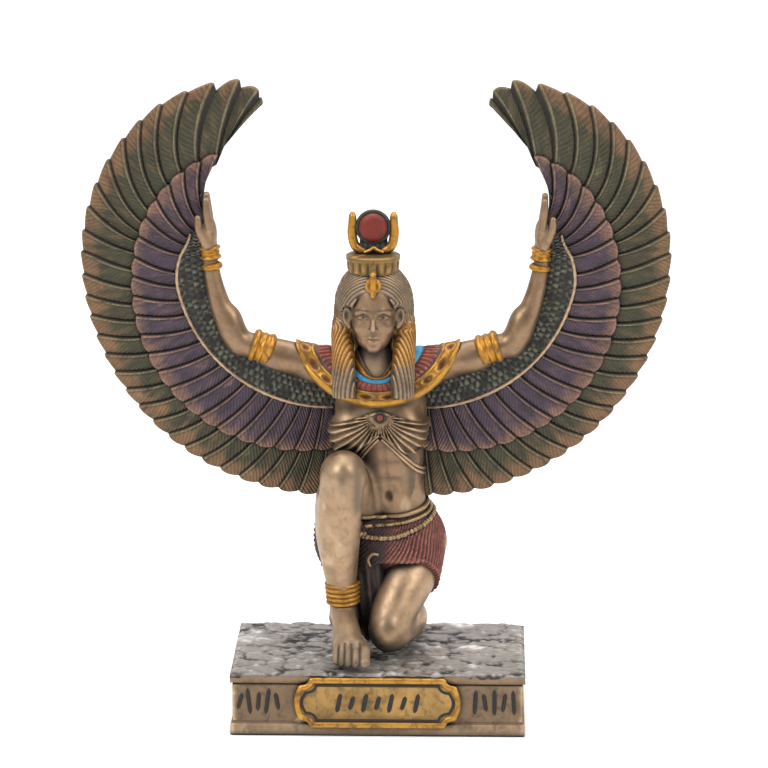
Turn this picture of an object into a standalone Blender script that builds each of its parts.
"""A kneeling winged goddess, cast in resin with bronze powder, on a low rectangular plinth.

The plinth is measured in metres. The figure and her wings are free forms, so they are set out
on a carver's grid of squares, counted from the point where she stands on the plinth: x to the
viewer's right, y away from the viewer, z up. One square is a sixtieth of the figure's height.
"""

import math

import bmesh
import bpy
from mathutils import Matrix, Vector

# The plinth, a block with a moulded top and foot and a frieze between them.
PLINTH_WIDTH = 0.0400
PLINTH_DEPTH = 0.0260
PLINTH_HEIGHT = 0.0092
TOP_BAND = 0.0016
FOOT_BAND = 0.0018
FRIEZE_RECESS = 0.0004
PLINTH_EDGE = 0.0004

# The oblong nameplate with hollow corners on the front of the plinth, left bare of letters.
PLATE_WIDTH = 0.0222
PLATE_HEIGHT = 0.0072
PLATE_PROUD = 0.0006
PLATE_FRAME = 0.0008
PLATE_CORNER = 0.0016
PLATE_SINK = 0.0003
STROKES = 7
STROKE_LENGTH = 0.0028
STROKE_WIDTH = 0.0005
STROKE_PITCH = 0.0017
STROKE_LEAN = math.radians(20)
STROKE_DEPTH = 0.0005
END_STROKES = 3

# The figure stands on the plinth with a hair of clearance under her feet.
FIGURE_HEIGHT = 0.0600
SQUARES_HIGH = 60
SEAT_CLEARANCE = 0.0003
FIGURE_OFFSET_X = -0.0006
SQUARE = FIGURE_HEIGHT / SQUARES_HIGH

# The wing's outer edge is an arc of one radius above the widest point and of another below it.
WING_CENTRE_Z = 53.6
UPPER_CENTRE_X = 14.5
UPPER_RADIUS = 25.4
LOWER_RADIUS = 33.5
LOWER_CENTRE_X = UPPER_CENTRE_X + UPPER_RADIUS - LOWER_RADIUS
WING_PLANE_Y = 4.6
WING_CURL = 1.8
CURL_CENTRE_Z = 42.0
CURL_REACH = 36.0

# The turn at which each long feather ends, in degrees above the wing's widest point. From the
# last of them on, down to the waist, the feathers lie evenly.
TIP_TURNS = (85.3, 84.6, 79.4, 70.0, 62.0, 54.0, 46.6, 39.5, 31.6, 23.5, 15.9, 8.4, 1.7, -4.1, -9.2)
TIP_INSETS = (3.9, 2.2, 0.3)
EVEN_TURN = 4.9
LONG_FEATHERS = 32
FEATHER_SWEEP = 16.0
SWEEP_LEAST = 5.5
SWEEP_TURN = 22.0
SWEEP_RANGE = 7.0
WAIST_TURN = -96.0
RIDGE_HALF = 1.15
VALLEY_HALF = 0.65
TIP_SHARE = 0.55
STEP_IN = 0.35

# The covert feathers overlie the roots of the long ones, and a scaled band the roots of these.
COVERT_TOP_TURN = 61.0
COVERT_FEATHERS = 24
COVERT_UPPER_TURN = 9.2
COVERT_LOWER_TURN = 5.7
COVERT_INSET = 7.2
COVERT_SPREAD = 2.6
COVERT_NARROWING = 2.2
COVERT_RIDGE_HALF = 1.75
COVERT_VALLEY_HALF = 1.30
BAND_TOP_TURN = 20.0
BAND_TURNS = 17
BAND_INSET = 11.4
BAND_TOP_INSET = 14.0
BAND_ROOT_INSET = 17.2
BAND_HALF = 1.95
RIM_HALF = 2.30
RIM_WIDTH = 0.7
FEATHER_OVERLAP = 1.4

# How finely the forms are drawn.
FLESH_VOXEL = 0.42
FLESH_SMOOTHING = 3
FIGURE_VOXEL = 0.22
FIGURE_TRIANGLES = 9300

# Counts and depths of the small work.
FINGERS = 4
TOES = 5
PLEATS = 22
PLEAT_DEPTH = 0.22
FOLDS = 3
COLLAR_STEPS = 28
CORD_SIDES = 8
WIG_RIBS = 16
WIG_RIB_DEPTH = 0.14
LAPPET_RIBS = 3


def square_point(x, y, z):
    """A point of the carver's grid in metres."""
    seat = Vector((FIGURE_OFFSET_X, 0.0, PLINTH_HEIGHT + SEAT_CLEARANCE))
    return seat + Vector((x, y, z)) * SQUARE


def mix(a, b, share):
    return a + (b - a) * share


def ease(value):
    """0 below 0, 1 above 1, and a smooth rise between them."""
    value = min(1.0, max(0.0, value))
    return value * value * (3.0 - 2.0 * value)


def clear_scene():
    for thing in list(bpy.data.objects):
        bpy.data.objects.remove(thing, do_unlink=True)


def new_collection(name, hidden=False):
    made = bpy.data.collections.new(name)
    made.hide_render = hidden
    bpy.context.scene.collection.children.link(made)
    return made


def paint(name, colour, roughness, metallic):
    material = bpy.data.materials.new(name)
    material.use_nodes = True
    shader = material.node_tree.nodes["Principled BSDF"]
    shader.inputs["Base Color"].default_value = (*colour, 1.0)
    shader.inputs["Roughness"].default_value = roughness
    shader.inputs["Metallic"].default_value = metallic
    return material


def object_from(name, bm, collection):
    """A new object that holds a bmesh, with its faces turned outwards."""
    bmesh.ops.triangulate(bm, faces=bm.faces)
    bmesh.ops.recalc_face_normals(bm, faces=bm.faces)
    mesh = bpy.data.meshes.new(name)
    bm.to_mesh(mesh)
    bm.free()
    made = bpy.data.objects.new(name, mesh)
    collection.objects.link(made)
    return made


def loft(name, rings, collection, looped=False):
    """Closed rings of the same number of points, joined in order, with the two ends filled."""
    bm = bmesh.new()
    rows = [[bm.verts.new(point) for point in ring] for ring in rings]
    pairs = list(zip(rows, rows[1:]))
    if looped:
        pairs.append((rows[-1], rows[0]))
    for row, after in pairs:
        for i, corner in enumerate(row):
            j = (i + 1) % len(row)
            bm.faces.new((corner, row[j], after[j], after[i]))
    if not looped:
        bm.faces.new(rows[0])
        bm.faces.new(rows[-1])
    return object_from(name, bm, collection)


def tube(name, points, radii, collection, bevel_resolution=3):
    """A round limb through the points, as thick at each as its radius says, with welded caps."""
    curve = bpy.data.curves.new(name, "CURVE")
    curve.dimensions = "3D"
    curve.bevel_depth = SQUARE
    curve.bevel_resolution = bevel_resolution
    curve.use_fill_caps = True
    spline = curve.splines.new("POLY")
    spline.points.add(len(points) - 1)
    for point, place, radius in zip(spline.points, points, radii):
        point.co = (*square_point(*place), 1.0)
        point.radius = radius
    guide = bpy.data.objects.new(name + "_guide", curve)
    collection.objects.link(guide)
    bpy.context.view_layer.update()
    graph = bpy.context.evaluated_depsgraph_get()
    mesh = bpy.data.meshes.new_from_object(guide.evaluated_get(graph))
    bpy.data.objects.remove(guide, do_unlink=True)
    bm = bmesh.new()
    bm.from_mesh(mesh)
    bmesh.ops.remove_doubles(bm, verts=bm.verts, dist=0.00001)
    bpy.data.meshes.remove(mesh)
    return object_from(name, bm, collection)


def ball(name, centre, radii, collection, segments=16, rings=10):
    """An egg: a sphere with its own radius along each axis."""
    bm = bmesh.new()
    bmesh.ops.create_uvsphere(bm, u_segments=segments, v_segments=rings, radius=SQUARE)
    bmesh.ops.scale(bm, vec=radii, verts=bm.verts)
    bmesh.ops.translate(bm, vec=square_point(*centre), verts=bm.verts)
    return object_from(name, bm, collection)


def joined(name, parts, collection):
    """The parts' meshes in one object. They still overlap."""
    bm = bmesh.new()
    for part in parts:
        bm.from_mesh(part.data)
        bpy.data.objects.remove(part, do_unlink=True)
    return object_from(name, bm, collection)


def skin_over(name, parts, voxel, smoothing, collection):
    """One closed skin round overlapping parts, on a fine grid, without the pockets between them."""
    body = joined(name, parts, collection)
    remesh = body.modifiers.new("fuse", "REMESH")
    remesh.mode = "VOXEL"
    remesh.voxel_size = voxel * SQUARE
    if smoothing:
        smooth = body.modifiers.new("soften", "SMOOTH")
        smooth.factor = 0.5
        smooth.iterations = smoothing
    bpy.context.view_layer.update()
    graph = bpy.context.evaluated_depsgraph_get()
    mesh = bpy.data.meshes.new_from_object(body.evaluated_get(graph))
    bpy.data.objects.remove(body, do_unlink=True)
    bm = bmesh.new()
    bm.from_mesh(mesh)
    bpy.data.meshes.remove(mesh)
    pieces = islands(bm)
    largest = max(pieces, key=len)
    spare = [corner for piece in pieces if piece is not largest for corner in piece]
    bmesh.ops.delete(bm, geom=spare, context="VERTS")
    return object_from(name, bm, collection)


def islands(bm):
    """The corners of a mesh, sorted into the pieces that hang together."""
    seen = set()
    pieces = []
    for start in bm.verts:
        if start in seen:
            continue
        seen.add(start)
        piece = [start]
        for corner in piece:
            for edge in corner.link_edges:
                other = edge.other_vert(corner)
                if other not in seen:
                    seen.add(other)
                    piece.append(other)
        pieces.append(piece)
    return pieces


# The plinth


def frieze_profile(height):
    """How far the plinth's wall stands in from its widest, from the foot up."""
    foot, top = FOOT_BAND, height - TOP_BAND
    return [
        (0.0, PLINTH_EDGE),
        (PLINTH_EDGE, 0.0),
        (foot - FRIEZE_RECESS, 0.0),
        (foot, FRIEZE_RECESS),
        (top, FRIEZE_RECESS),
        (top + FRIEZE_RECESS, 0.0),
        (height - PLINTH_EDGE, 0.0),
        (height, PLINTH_EDGE),
    ]


def plinth_block(collection):
    """The block, as square rings from the foot to the top."""
    rings = []
    for z, inset in frieze_profile(PLINTH_HEIGHT):
        x, y = PLINTH_WIDTH / 2 - inset, PLINTH_DEPTH / 2 - inset
        rings.append([(-x, -y, z), (x, -y, z), (x, y, z), (-x, y, z)])
    return loft("plinth", rings, collection)


def plate_outline(width, height, corner):
    """An oblong with a hollow at each corner, seen from the front, as (x, z) points."""
    points = []
    for quarter, (side, up) in enumerate(((1, 1), (-1, 1), (-1, -1), (1, -1))):
        for step in range(5):
            turn = math.radians(270 + 90 * quarter - 90 * step / 4)
            x = side * width / 2 + corner * math.cos(turn)
            z = up * height / 2 + corner * math.sin(turn)
            points.append((x, z))
    return points


def nameplate(collection):
    """The plate, framed by a raised border round a sunken field."""
    middle = (FOOT_BAND + PLINTH_HEIGHT - TOP_BAND) / 2
    wall = -PLINTH_DEPTH / 2
    outer = plate_outline(PLATE_WIDTH, PLATE_HEIGHT, PLATE_CORNER)
    inner = plate_outline(PLATE_WIDTH - 2 * PLATE_FRAME, PLATE_HEIGHT - 2 * PLATE_FRAME, PLATE_CORNER)
    front = wall - PLATE_PROUD
    levels = (
        (outer, wall + 2 * PLATE_PROUD),
        (outer, front),
        (inner, front),
        (inner, front + PLATE_SINK),
    )
    rings = [[(x, y, middle + z) for x, z in outline] for outline, y in levels]
    return loft("nameplate", rings, collection)


def stroke(x, z, length, lean, y, collection):
    """A shallow raised stroke on the front of the plinth."""
    bm = bmesh.new()
    bmesh.ops.create_cube(bm, size=1.0)
    bmesh.ops.scale(bm, vec=(STROKE_WIDTH, STROKE_DEPTH, length), verts=bm.verts)
    bmesh.ops.rotate(bm, cent=(0, 0, 0), matrix=Matrix.Rotation(lean, 3, "Y"), verts=bm.verts)
    bmesh.ops.translate(bm, vec=(x, y, z), verts=bm.verts)
    return object_from("stroke", bm, collection)


def plinth_strokes(collection):
    """Leaning strokes along the plate and upright ones on the frieze at its two ends."""
    middle = (FOOT_BAND + PLINTH_HEIGHT - TOP_BAND) / 2
    wall = -PLINTH_DEPTH / 2
    made = []
    for i in range(STROKES):
        x = (i - (STROKES - 1) / 2) * STROKE_PITCH
        length = STROKE_LENGTH * (1.0 if i % 2 == 0 else 0.7)
        y = wall - PLATE_PROUD + PLATE_SINK
        made.append(stroke(x, middle, length, STROKE_LEAN, y, collection))
    edge = (PLINTH_WIDTH + PLATE_WIDTH) / 4
    for side in (-1, 1):
        for i in range(END_STROKES):
            x = side * (edge + (i - (END_STROKES - 1) / 2) * STROKE_PITCH)
            length = STROKE_LENGTH * (1.0 if i % 2 == 0 else 0.7)
            made.append(stroke(x, middle, length, 0.0, wall + FRIEZE_RECESS, collection))
    return made


# The figure's flesh


def torso(collection):
    """Hips, belly, chest, breasts, neck and the core of the head."""
    return [
        ball("hips", (2.6, 4.6, 14.6), (6.2, 5.2, 5.2), collection),
        ball("belly", (2.0, 2.4, 20.5), (5.0, 4.1, 6.4), collection),
        ball("ribs", (1.0, 1.7, 29.5), (6.0, 4.0, 6.0), collection),
        ball("chest", (0.6, 1.4, 34.5), (7.0, 4.0, 5.0), collection),
        ball("left_breast", (-2.6, -1.2, 32.4), (3.2, 2.7, 2.9), collection),
        ball("right_breast", (4.1, -1.2, 32.6), (3.2, 2.7, 2.9), collection),
        tube("shoulders", ((-5.6, 1.9, 38.2), (0.0, 1.6, 38.6), (5.6, 1.9, 38.4)), (2.4, 2.6, 2.4), collection),
        tube("neck", ((0.3, 1.3, 37), (0.0, 0.6, 41.5), (-0.2, 0.2, 45)), (2.6, 1.7, 1.7), collection),
        ball("face", (-0.2, -0.9, 46.0), (3.0, 3.4, 4.5), collection),
        ball("jaw", (-0.2, -2.1, 43.5), (1.7, 2.0, 1.8), collection),
        tube("nose", ((-0.2, -4.1, 47.0), (-0.2, -4.75, 45.2)), (0.35, 0.5), collection),
    ]


def arm(side, collection):
    """A raised arm: out and a little up to the elbow, then up the forearm to an open hand."""
    joints = ((5.4, 1.9, 38.3), (8.3, 1.8, 38.7), (12.6, 1.5, 40.4), (16.4, 1.3, 41.5), (18.4, 1.3, 42.2),
              (20.1, 1.4, 45.6), (21.3, 1.5, 49.0), (22.2, 1.6, 52.6), (22.6, 1.6, 54.6))
    thick = (2.5, 2.5, 2.0, 1.75, 1.75, 1.85, 1.55, 1.15, 1.05)
    parts = [tube("arm", [(side * x, y, z) for x, y, z in joints], thick, collection)]
    parts.append(ball("palm", (side * 22.9, 1.5, 56.6), (0.9, 1.9, 2.4), collection))
    for i in range(FINGERS):
        y = 1.5 + (i - (FINGERS - 1) / 2) * 0.95
        top = 62.6 - 0.5 * abs(i - 1.4)
        places = ((side * 22.9, y, 57.5), (side * 23.5, y, 60.0), (side * 23.6, y, top))
        parts.append(tube("finger", places, (0.62, 0.58, 0.48), collection))
    thumb = ((side * 23.1, 0.6, 55.4), (side * 24.4, 0.3, 58.2), (side * 25.2, 0.3, 60.2))
    parts.append(tube("thumb", thumb, (0.7, 0.62, 0.5), collection))
    return parts


def foot(heel, toe, collection):
    """A bare foot from the heel to the toes, flat underneath."""
    parts = [ball("heel", heel, (1.6, 1.9, 1.6), collection)]
    ball_of_foot = [mix(a, b, 0.72) for a, b in zip(heel, toe)]
    instep = [mix(a, b, 0.45) for a, b in zip(heel, toe)]
    parts.append(ball("instep", (instep[0], instep[1], 1.9), (2.0, 3.0, 1.7), collection))
    parts.append(ball("ball_of_foot", (ball_of_foot[0], ball_of_foot[1], 1.05), (2.7, 2.4, 1.0), collection))
    for i in range(TOES):
        x = toe[0] + (i - (TOES - 1) / 2) * 1.05
        y = toe[1] + 0.28 * (TOES - 1 - i if toe[0] < 0 else i)
        size = 0.85 if i == TOES - 1 else 0.66
        parts.append(ball("toe", (x, y, size), (0.6, 1.1, size), collection, segments=10, rings=8))
    return parts


def legs(collection):
    """The raised leg, its foot flat, and the kneeling leg, folded back along the plinth."""
    raised = ((-1.2, 4.6, 15.0), (-2.8, 0.0, 20.6), (-4.0, -4.2, 25.2), (-4.2, -5.2, 24.6),
              (-4.7, -4.8, 19.0), (-4.7, -4.2, 13.0), (-4.3, -3.6, 8.0), (-4.2, -3.4, 4.2))
    raised_thick = (4.6, 4.1, 3.2, 3.0, 2.75, 2.5, 1.85, 1.7)
    thigh = ((5.4, 5.0, 13.4), (4.8, -0.6, 9.6), (3.9, -4.6, 4.6), (3.7, -5.2, 3.1))
    thigh_thick = (4.6, 4.1, 3.2, 2.9)
    shin = ((4.0, -4.6, 2.9), (5.6, 1.0, 3.2), (5.4, 5.5, 2.6), (5.0, 9.0, 1.8))
    shin_thick = (2.8, 2.9, 2.2, 1.6)
    parts = [
        tube("raised_leg", raised, raised_thick, collection),
        ball("raised_knee", (-4.1, -5.4, 25.4), (2.9, 2.5, 3.0), collection),
        tube("kneeling_thigh", thigh, thigh_thick, collection),
        tube("kneeling_shin", shin, shin_thick, collection),
        ball("folded_foot", (4.8, 10.2, 1.9), (2.0, 1.9, 1.8), collection),
        ball("folded_toes", (4.7, 9.6, 0.9), (2.4, 1.8, 0.9), collection),
        ball("dark_cloth", (0.3, 0.8, 7.4), (3.2, 4.4, 7.2), collection),
    ]
    return parts + foot((-4.2, -2.6, 1.7), (-2.6, -9.8, 0.7), collection)


# What she wears


def skirt(collection):
    """A short pleated skirt from the belt to a hem that climbs towards the front."""
    rings = []
    for share in (0.0, 0.08, 0.35, 0.7, 0.94, 1.0):
        ring = []
        for i in range(PLEATS * 2):
            turn = math.tau * i / (PLEATS * 2)
            across, away = math.cos(turn), math.sin(turn)
            front = ease((0.35 - away) / 1.35)
            top = 18.6 + 1.0 * across - 1.4 * front
            hem = mix(4.4, 11.8, front) + 2.0 * ease(-across)
            reach = 1.0 + 0.27 * math.sin(math.pi * (0.15 + 0.8 * share))
            depth = PLEAT_DEPTH * (1 if i % 2 else -1) * min(1.0, 6 * share)
            x = mix(2.2, 0.8, share) + (6.0 * reach + 0.3 * share + depth) * across
            y = 3.6 + (5.0 * reach + depth) * away
            ring.append(square_point(x, y, mix(top, hem, share)))
        rings.append(ring)
    return loft("skirt", rings, collection)


def hoop(name, centre, reach, lift, thickness, collection, steps=28):
    """A closed cord round the hips, lifted towards the right by as much as lift says."""
    rings = []
    for i in range(steps):
        turn = math.tau * i / steps
        middle = Vector((centre[0] + reach[0] * math.cos(turn), centre[1] + reach[1] * math.sin(turn),
                         centre[2] + lift * math.cos(turn) + 0.8 * max(0.0, math.sin(turn))))
        outward = Vector((math.cos(turn), math.sin(turn), 0.0))
        ring = []
        for j in range(CORD_SIDES):
            around = math.tau * j / CORD_SIDES
            place = middle + outward * thickness * math.cos(around)
            ring.append(square_point(place.x, place.y, place.z + thickness * math.sin(around)))
        rings.append(ring)
    return loft(name, rings, collection, looped=True)


def bangle(name, start, finish, radii, collection, sides=16):
    """A ridged cuff round a limb, from one end to the other."""
    start, finish = Vector(start), Vector(finish)
    along = (finish - start).normalized()
    across = along.orthogonal().normalized()
    other = along.cross(across)
    rings = []
    for i, radius in enumerate(radii):
        middle = start.lerp(finish, i / (len(radii) - 1))
        ring = []
        for j in range(sides):
            turn = math.tau * j / sides
            place = middle + (across * math.cos(turn) + other * math.sin(turn)) * radius
            ring.append(square_point(*place))
        rings.append(ring)
    return loft(name, rings, collection)


def wrap_folds(collection):
    """The folds of the breast cloth, drawn together at the middle, and the strap below them."""
    folds = []
    for side, end in ((-1, -6.0), (1, 7.4)):
        for i in range(FOLDS):
            share = i / (FOLDS - 1)
            bulge = 2.7 * math.sin(math.pi * (0.2 + 0.6 * share))
            middle = 0.7 + side * 3.3
            places = ((0.7 + side * 0.4, -2.7, 32.4 - 0.7 * share),
                      (mix(0.7, middle, 0.6), -2.6 - 0.5 * bulge, mix(34.4, 30.4, share)),
                      (middle, -2.0 - 0.75 * bulge, mix(35.0, 30.0, share)),
                      (end, 0.4, mix(34.6, 30.4, share)))
            folds.append(tube("fold", places, (0.45, 0.5, 0.5, 0.4), collection, bevel_resolution=1))
    strap = ((1.0, -3.2, 31.6), (3.4, -3.1, 29.4), (6.0, -1.2, 27.0), (7.2, 1.4, 25.6))
    folds.append(tube("strap", strap, (0.5, 0.5, 0.5, 0.4), collection, bevel_resolution=1))
    folds.append(ball("pin", (0.8, -3.6, 33.5), (0.9, 0.5, 0.9), collection, segments=10, rings=6))
    return folds


def collar(collection):
    """The broad collar, lying from the neck to the points of the shoulders."""
    rings = []
    for i in range(COLLAR_STEPS):
        turn = math.tau * i / COLLAR_STEPS
        across, away = math.cos(turn), math.sin(turn)
        low = 34.2 if away < 0 else 36.4
        edge = mix(41.4, low, abs(away) ** 1.2)
        rise = 0.3 * abs(across)
        ring = []
        for reach, forward, z in ((1.2, 0.9, 42.4), (10.9, 4.9, edge + rise),
                                  (10.9, 5.2, edge - 0.9), (1.2, 0.9, 37.6)):
            ring.append(square_point(0.3 + reach * across, 1.2 + forward * away, z))
        rings.append(ring)
    return loft("collar", rings, collection, looped=True)


def wig(collection):
    """The heavy wig, in ribs from the crown of the head down to its rounded back."""
    rings = []
    heights = ((53.3, 0.30), (52.9, 0.62), (51.6, 0.86), (49.2, 1.0), (45.6, 1.04), (41.5, 1.0), (38.0, 0.9))
    for z, share in heights:
        ring = []
        for i in range(WIG_RIBS * 2):
            turn = math.tau * i / (WIG_RIBS * 2)
            across, away = math.cos(turn), math.sin(turn)
            rib = WIG_RIB_DEPTH * (1 if i % 2 else -1)
            flat = 1.0 - 0.34 * ease(-away * 1.4) * ease((51.5 - z) / 3.0)
            x = -0.2 + (5.2 * share + rib) * across
            y = 0.9 + (4.6 * share * flat + rib) * away
            ring.append(square_point(x, y, z))
        rings.append(ring)
    return loft("wig", rings, collection)


def lappet(side, collection):
    """One of the two locks of the wig that fall before the shoulders."""
    rings = []
    for x, y, z, half in ((4.0, -2.0, 46.5, 1.1), (4.1, -2.9, 42.0, 1.5), (4.0, -3.6, 38.0, 1.6),
                          (3.9, -3.9, 35.0, 1.55), (3.9, -3.8, 34.4, 1.4)):
        ring = []
        for i in range(LAPPET_RIBS * 2 + 1):
            share = i / (LAPPET_RIBS * 2)
            rib = 0.16 if i % 2 else -0.1
            bow = 0.7 * math.sin(math.pi * share)
            ring.append(square_point(side * x - 0.2 + half * (2 * share - 1), y - bow - rib, z))
        ring.append(square_point(side * x - 0.2 + half, y + 1.6, z))
        ring.append(square_point(side * x - 0.2 - half, y + 1.6, z))
        rings.append(ring)
    return loft("lappet", rings, collection)


def crown(collection):
    """A low drum on the wig that carries a sun disc between two horns, and the brow's cobra."""
    rings = []
    for z, radius in ((52.6, 3.3), (53.6, 3.6), (54.9, 3.7), (55.2, 3.5)):
        rings.append([square_point(-0.2 + radius * math.cos(math.tau * i / 16),
                                   0.2 + radius * math.sin(math.tau * i / 16), z) for i in range(16)])
    parts = [loft("drum", rings, collection)]
    parts.append(ball("sun_disc", (-0.25, 0.2, 57.9), (2.15, 1.0, 2.15), collection, segments=14, rings=8))
    parts.append(ball("disc_seat", (-0.25, 0.6, 55.6), (2.0, 1.0, 1.3), collection, segments=8, rings=6))
    for side in (-1, 1):
        places = ((-0.25 + side * 0.5, 0.7, 54.8), (-0.25 + side * 1.9, 0.7, 55.7),
                  (-0.25 + side * 2.75, 0.7, 57.4), (-0.25 + side * 2.85, 0.7, 59.0),
                  (-0.25 + side * 2.95, 0.7, 60.0 - 0.3))
        parts.append(tube("horn", places, (0.95, 0.85, 0.65, 0.55, 0.35), collection, bevel_resolution=1))
    cobra = ((-0.2, -2.6, 50.2), (-0.2, -3.7, 51.4), (-0.2, -3.4, 52.6), (-0.2, -3.5, 53.7))
    parts.append(tube("cobra", cobra, (0.7, 0.85, 0.55, 0.6), collection, bevel_resolution=1))
    return parts


# The wings


def wing_place(side, turn, inset, forward):
    """A point of a wing from its turn about the wing's centre and its inset from the edge."""
    centre, radius = (UPPER_CENTRE_X, UPPER_RADIUS) if turn >= 0 else (LOWER_CENTRE_X, LOWER_RADIUS)
    angle = math.radians(turn)
    x = centre + (radius - inset) * math.cos(angle)
    z = WING_CENTRE_Z + (radius - inset) * math.sin(angle)
    away = math.hypot(x, z - CURL_CENTRE_Z) / CURL_REACH
    y = WING_PLANE_Y - WING_CURL * away * away - forward
    return square_point(side * x, y, z)


def covert_edge(turn):
    """The inset at which the coverts end and the long feathers come out from under them."""
    if turn < 0:
        return COVERT_INSET - COVERT_NARROWING * math.sin(math.pi * min(1.0, turn / WAIST_TURN))
    if turn < COVERT_TOP_TURN:
        return COVERT_INSET + COVERT_SPREAD * turn / COVERT_TOP_TURN
    beyond = (turn - COVERT_TOP_TURN) / (TIP_TURNS[0] - COVERT_TOP_TURN)
    return mix(COVERT_INSET + COVERT_SPREAD, TIP_INSETS[0], beyond ** 1.15)


def sweep(turn):
    """How far a feather's root lies behind its tip, in degrees."""
    long = FEATHER_SWEEP / (1.0 + math.exp(-(turn - SWEEP_TURN) / SWEEP_RANGE))
    return (SWEEP_LEAST + long) * ease((turn - WAIST_TURN) / 25.0)


def long_tip(k):
    """The tip of the long feather k as a turn and an inset."""
    last = len(TIP_TURNS) - 1
    turn = TIP_TURNS[k] if k <= last else TIP_TURNS[last] - EVEN_TURN * (k - last)
    inset = TIP_INSETS[k] if k < len(TIP_INSETS) else 0.0
    return turn, inset


def covert_tip(k):
    """The tip of the covert k as a turn and an inset."""
    turn = COVERT_TOP_TURN - COVERT_UPPER_TURN * k
    if turn < 0:
        turn = turn * COVERT_LOWER_TURN / COVERT_UPPER_TURN
    return turn, covert_edge(turn)


def long_root(turn):
    """The inset of a long feather's root, hidden under the coverts while there are any."""
    hidden = FEATHER_OVERLAP if turn < COVERT_TOP_TURN - 4 else 0.0
    return covert_edge(turn) + hidden


def covert_root(turn):
    """The inset of a covert's root, under the band or at the wing's inner edge."""
    inner = mix(BAND_INSET + FEATHER_OVERLAP, BAND_ROOT_INSET - 1.0, ease((turn + 5.0) / 20.0))
    return inner - 7.0 * ease((turn - 22.0) / 42.0)


def feather_row(side, tip, root_of, shares, half, step_in):
    """The closed section of a wing along one feather's line: out along the front, in at the back."""
    turn, inset = tip
    root_turn = turn - sweep(turn)
    root_inset = root_of(root_turn)
    front, back = [], []
    for share in shares:
        at = mix(root_turn, turn, share ** 1.3)
        in_from_edge = mix(root_inset, inset + step_in, share)
        thick = half * mix(1.0, TIP_SHARE, ease((share - 0.4) / 0.6))
        front.append(wing_place(side, at, in_from_edge, thick))
        back.append(wing_place(side, at, in_from_edge, -thick))
    return front + back[::-1]


def feather_tier(name, side, tips, root_of, shares, ridge, valley, collection):
    """A row of overlapping feathers: each falls from its own ridge to a groove by the next one."""
    rows = []
    for tip, after in zip(tips, tips[1:]):
        rows.append(feather_row(side, tip, root_of, shares, ridge, 0.0))
        low = (mix(tip[0], after[0], 0.9), mix(tip[1], after[1], 0.9))
        rows.append(feather_row(side, low, root_of, shares, valley, STEP_IN))
    return loft(name, rows, collection)


def scaled_band(side, collection):
    """The band between arm and coverts, edged with a raised cord."""
    rows = []
    for i in range(BAND_TURNS):
        turn = mix(BAND_TOP_TURN, WAIST_TURN, i / (BAND_TURNS - 1))
        rim = BAND_INSET + (BAND_TOP_INSET - BAND_INSET) * ease((turn + 12.0) / 26.0)
        places = ((rim, RIM_HALF), (rim + RIM_WIDTH, RIM_HALF), (rim + 1.4 * RIM_WIDTH, BAND_HALF),
                  (BAND_ROOT_INSET, BAND_HALF))
        front = [wing_place(side, turn, inset, half) for inset, half in places]
        back = [wing_place(side, turn, inset, -half) for inset, half in places]
        rows.append(front + back[::-1])
    return loft("band", rows, collection)


def wing(side, collection):
    long_tips = [long_tip(k) for k in range(LONG_FEATHERS + 1)]
    covert_tips = [covert_tip(k) for k in range(COVERT_FEATHERS + 1)]
    return [
        feather_tier("long_feathers", side, long_tips, long_root, (0.0, 0.45, 0.8, 1.0),
                     RIDGE_HALF, VALLEY_HALF, collection),
        feather_tier("coverts", side, covert_tips, covert_root, (0.0, 0.6, 1.0),
                     COVERT_RIDGE_HALF, COVERT_VALLEY_HALF, collection),
        scaled_band(side, collection),
    ]


def finish_part(made, name, material, collection):
    """The finished object, under its own name, material and collection."""
    made.users_collection[0].objects.unlink(made)
    collection.objects.link(made)
    made.name = name
    made.data.name = name
    made.data.materials.clear()
    made.data.materials.append(material)


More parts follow.
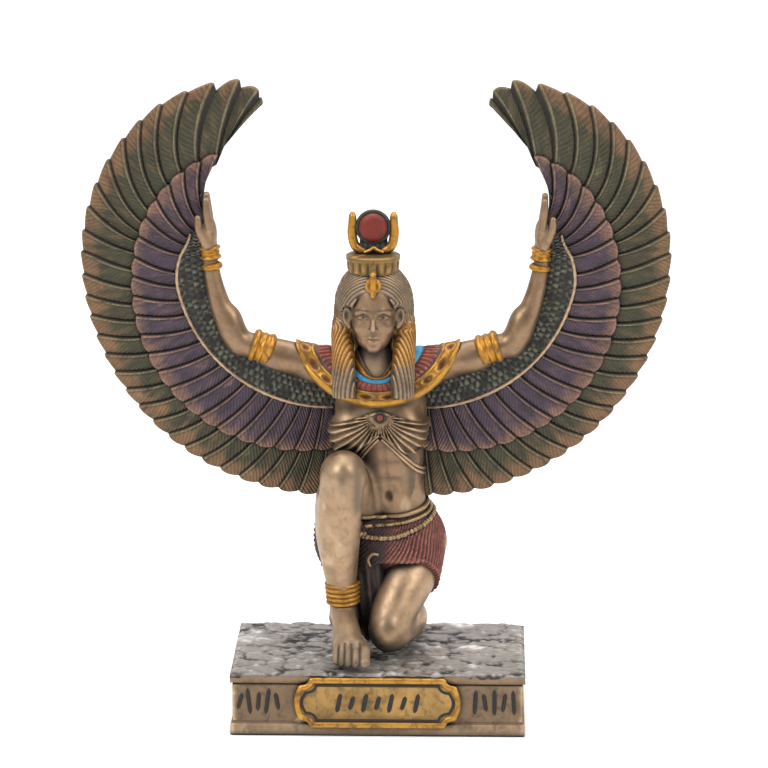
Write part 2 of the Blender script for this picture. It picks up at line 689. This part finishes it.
def build_plinth(collection):
    helpers = new_collection("plinth_helpers", hidden=True)
    block = plinth_block(helpers)
    for tool in [nameplate(helpers)] + plinth_strokes(helpers):
        tool.display_type = "WIRE"
        tool.hide_render = True
        union = block.modifiers.new("unite", "BOOLEAN")
        union.operation = "UNION"
        union.object = tool
        union.solver = "EXACT"
    bronze = paint("antique_bronze_resin", (0.33, 0.21, 0.12), 0.42, 0.75)
    finish_part(block, "plinth", bronze, collection)


def build_figure(collection):
    helpers = new_collection("figure_helpers", hidden=True)
    bare = torso(helpers) + arm(-1, helpers) + arm(1, helpers) + legs(helpers)
    parts = [skin_over("flesh", bare, FLESH_VOXEL, FLESH_SMOOTHING, helpers)]
    parts += [skirt(helpers), collar(helpers), wig(helpers), lappet(-1, helpers), lappet(1, helpers)]
    parts.append(hoop("upper_belt", (2.2, 3.3, 18.6), (6.5, 5.4), 1.1, 0.6, helpers))
    parts.append(hoop("lower_belt", (2.1, 3.2, 16.9), (6.9, 5.9), 1.5, 0.5, helpers))
    for side in (-1, 1):
        parts.append(bangle("armband", (side * 14.2, 1.45, 40.8), (side * 16.8, 1.3, 41.7),
                            (2.05, 2.3, 2.1, 2.3, 2.1, 2.3, 2.05), helpers))
        parts.append(bangle("wristband", (side * 21.5, 1.5, 49.9), (side * 22.1, 1.55, 52.7),
                            (1.5, 1.75, 1.5, 1.45, 1.7, 1.4), helpers))
    parts.append(bangle("anklet", (-4.45, -3.7, 9.6), (-4.3, -3.5, 6.4),
                        (2.1, 2.5, 2.2, 2.5, 2.2, 2.45, 2.15, 2.4, 2.0), helpers))
    parts += wrap_folds(helpers) + crown(helpers) + wing(-1, helpers) + wing(1, helpers)
    figure = skin_over("winged_figure", parts, FIGURE_VOXEL, 0, helpers)
    lighten = figure.modifiers.new("lighten", "DECIMATE")
    lighten.ratio = FIGURE_TRIANGLES / sum(len(face.vertices) - 2 for face in figure.data.polygons)
    finish = paint("painted_bronze_resin", (0.42, 0.27, 0.16), 0.38, 0.8)
    finish_part(figure, "winged_figure", finish, collection)


def build_statue():
    clear_scene()
    statue = new_collection("winged_goddess_statue")
    build_plinth(statue)
    build_figure(statue)


build_statue()
